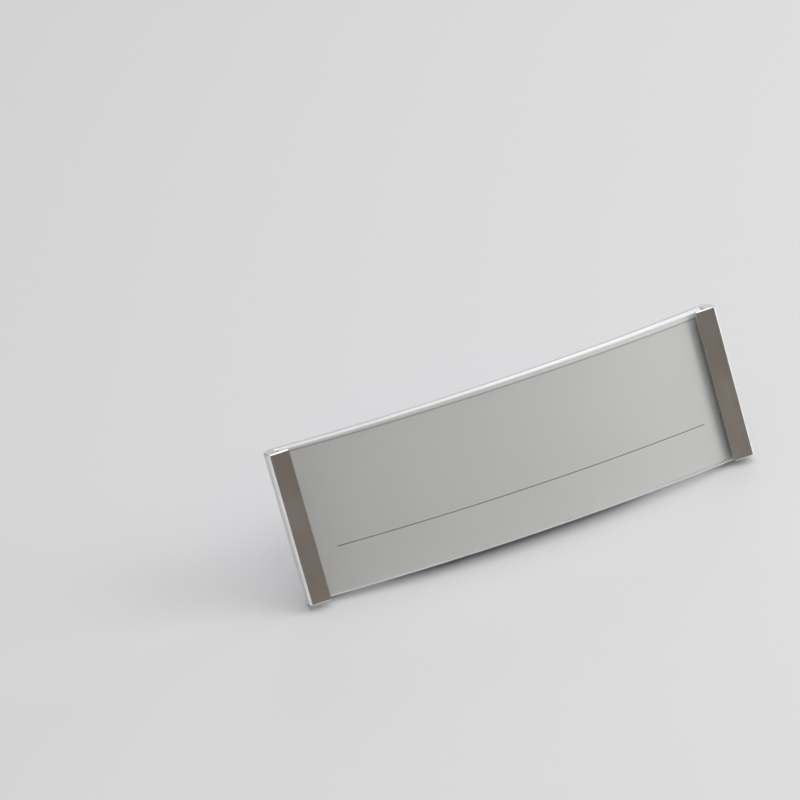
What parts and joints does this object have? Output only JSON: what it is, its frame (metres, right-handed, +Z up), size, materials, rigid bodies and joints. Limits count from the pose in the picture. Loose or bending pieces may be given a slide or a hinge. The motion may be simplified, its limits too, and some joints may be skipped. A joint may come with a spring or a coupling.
{
  "type": "curved name badge with a magnetic fitting",
  "caption": "Slim curved metal badge frame with end lips that hold a sheet under a clear cover; a flat magnet carrier with a round head grips its back.",
  "frame": {"origin": "on the surface that the badge stands on, under the middle of its bounding box", "axes": "+X along the badge's length, to the right as its front is seen; -Y towards the viewer of its front; +Z up, with the badge leaning back from upright until its carrier's head meets the surface"},
  "size_m": [0.076, 0.0178, 0.0261],
  "materials": {
    "frame_aluminium": "satin",
    "sheet_print": "satin",
    "cover_clear": "gloss",
    "plate_steel": "satin",
    "magnet_nickel": "polished",
    "carrier_blue": "satin"
  },
  "bodies": {
    "root": {"badge_frame": "frame_aluminium", "printed_sheet": "sheet_print", "clear_cover": "cover_clear", "base_plate": "plate_steel", "head_magnet": "magnet_nickel", "body_magnet": "magnet_nickel", "magnet_carrier": "carrier_blue"}
  },
  "joints": []
}
